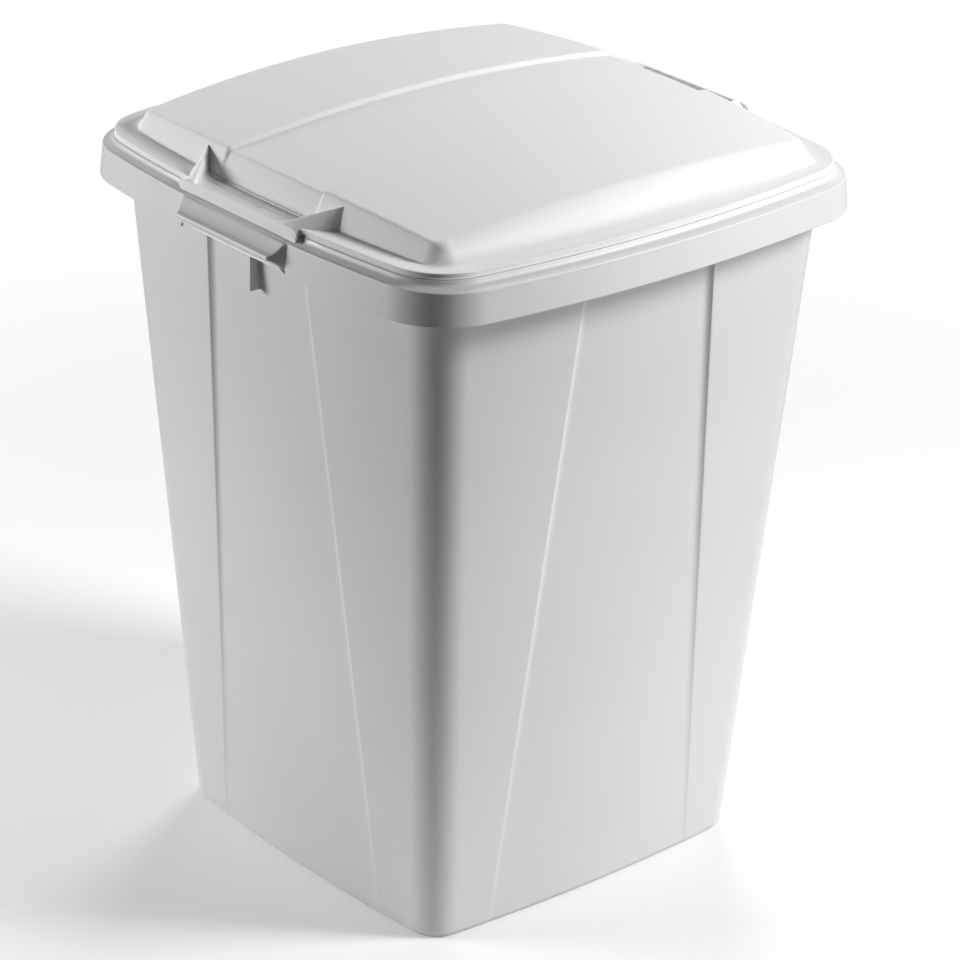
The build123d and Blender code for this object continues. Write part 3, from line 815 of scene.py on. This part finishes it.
def floor_material(name):
    """Pale matt floor that passes into the white sweep behind it away from the object."""
    m = bpy.data.materials.new(name)
    m.use_nodes = True
    nt = m.node_tree
    N, Lk = nt.nodes.new, nt.links.new
    b = nt.nodes["Principled BSDF"]
    b.inputs["Base Color"].default_value = (0.8, 0.8, 0.8, 1)
    b.inputs["Roughness"].default_value = 0.9
    b.inputs["Specular IOR Level"].default_value = 0.1
    b.inputs["Emission Color"].default_value = (1, 1, 1, 1)
    b.inputs["Emission Strength"].default_value = 0.16
    tc = N("ShaderNodeTexCoord")
    ln = N("ShaderNodeVectorMath")
    ln.operation = "LENGTH"
    Lk(tc.outputs["Object"], ln.inputs[0])
    mr = N("ShaderNodeMapRange")
    mr.interpolation_type = "SMOOTHSTEP"
    mr.inputs["From Min"].default_value, mr.inputs["From Max"].default_value = 0.45, 1.5
    Lk(ln.outputs["Value"], mr.inputs["Value"])
    tr = N("ShaderNodeBsdfTransparent")
    mx = N("ShaderNodeMixShader")
    Lk(mr.outputs["Result"], mx.inputs["Fac"])
    Lk(b.outputs["BSDF"], mx.inputs[1])
    Lk(tr.outputs["BSDF"], mx.inputs[2])
    Lk(mx.outputs["Shader"], nt.nodes["Material Output"].inputs["Surface"])
    return m


def only_for(ob, camera):
    """Stage pieces are either seen or bounce light, so that the pale surroundings don't wash the object out."""
    ob.visible_camera = camera
    for k in ("visible_diffuse", "visible_glossy", "visible_transmission", "visible_volume_scatter"):
        setattr(ob, k, not camera)
    ob.visible_shadow = False


floor = disc("floor", 1.6, -0.0002)
floor.data.materials.append(floor_material("floor_pale"))
only_for(floor, True)
table = disc("table", 0.85, -0.0003)
table.data.materials.append(flat_material("table_pale", (0.86, 0.86, 0.86)))
only_for(table, False)
bpy.ops.mesh.primitive_uv_sphere_add(segments=64, ring_count=32, radius=30.0)
sweep = bpy.context.object
sweep.name = "sweep"
sweep.data.materials.append(glow_material("sweep_white", 1.0))
only_for(sweep, True)

world = bpy.data.worlds.new("studio")
sc.world = world
world.use_nodes = True
bg = world.node_tree.nodes["Background"]
bg.inputs["Color"].default_value = (1, 1, 1, 1)
bg.inputs["Strength"].default_value = 0.01


def softbox(name, loc, target, size, size_y, power):
    ld = bpy.data.lights.new(name, "AREA")
    ld.shape = "RECTANGLE"
    ld.size, ld.size_y = size, size_y
    ld.energy = power
    ob = bpy.data.objects.new(name, ld)
    bpy.context.collection.objects.link(ob)
    ob.location = loc
    d = Vector(target) - Vector(loc)
    ob.rotation_mode = "QUATERNION"
    ob.rotation_quaternion = d.to_track_quat("-Z", "Y")
    ob.visible_camera = False
    return ob


def studio(name, az, el, dist, size, size_y, power):
    a, e = math.radians(az), math.radians(el)
    c = Vector((0, 0, 0.4))
    d = Vector((math.sin(a) * math.cos(e), -math.cos(a) * math.cos(e), math.sin(e)))
    return softbox(name, c + d * dist, c, size, size_y, power)


studio("key", 40, 36, 2.2, 0.6, 0.6, 38.5)
studio("right", 36, 20, 2.2, 0.6, 0.6, 6)
studio("right_low", 36, 4, 2.2, 0.6, 0.6, 14)
studio("left", 238, 12, 2.2, 0.6, 0.6, 20)
studio("left_back", 224, 12, 2.2, 0.6, 0.6, 16)
studio("left_low", 224, 4, 2.2, 0.6, 0.6, 2.5)
studio("top", 132, 52, 2.2, 0.6, 0.6, 17)

# ------------------------------------------------------------------ camera, solved from the photo
AZ, EL, ROLL, DIST = math.radians(-40.34), math.radians(24.57), math.radians(1.30), 3444.95
TARGET = Vector((16.16, 0.0, 307.61))
FOCAL_PX = 4073.29
back = Vector((math.sin(AZ) * math.cos(EL), -math.cos(AZ) * math.cos(EL), math.sin(EL)))
right0 = Vector((0, 0, 1)).cross(back).normalized()
up0 = back.cross(right0)
right = right0 * math.cos(ROLL) + up0 * math.sin(ROLL)
up = -right0 * math.sin(ROLL) + up0 * math.cos(ROLL)
cam_data = bpy.data.cameras.new("camera")
cam_data.sensor_width = 36.0
cam_data.lens = FOCAL_PX / 960.0 * 36.0
cam_data.clip_start, cam_data.clip_end = 0.05, 200.0
cam = bpy.data.objects.new("camera", cam_data)
bpy.context.collection.objects.link(cam)
m = Matrix((right, up, back)).transposed().to_4x4()
m.translation = (TARGET + back * DIST) * MM
cam.matrix_world = m
sc.camera = cam
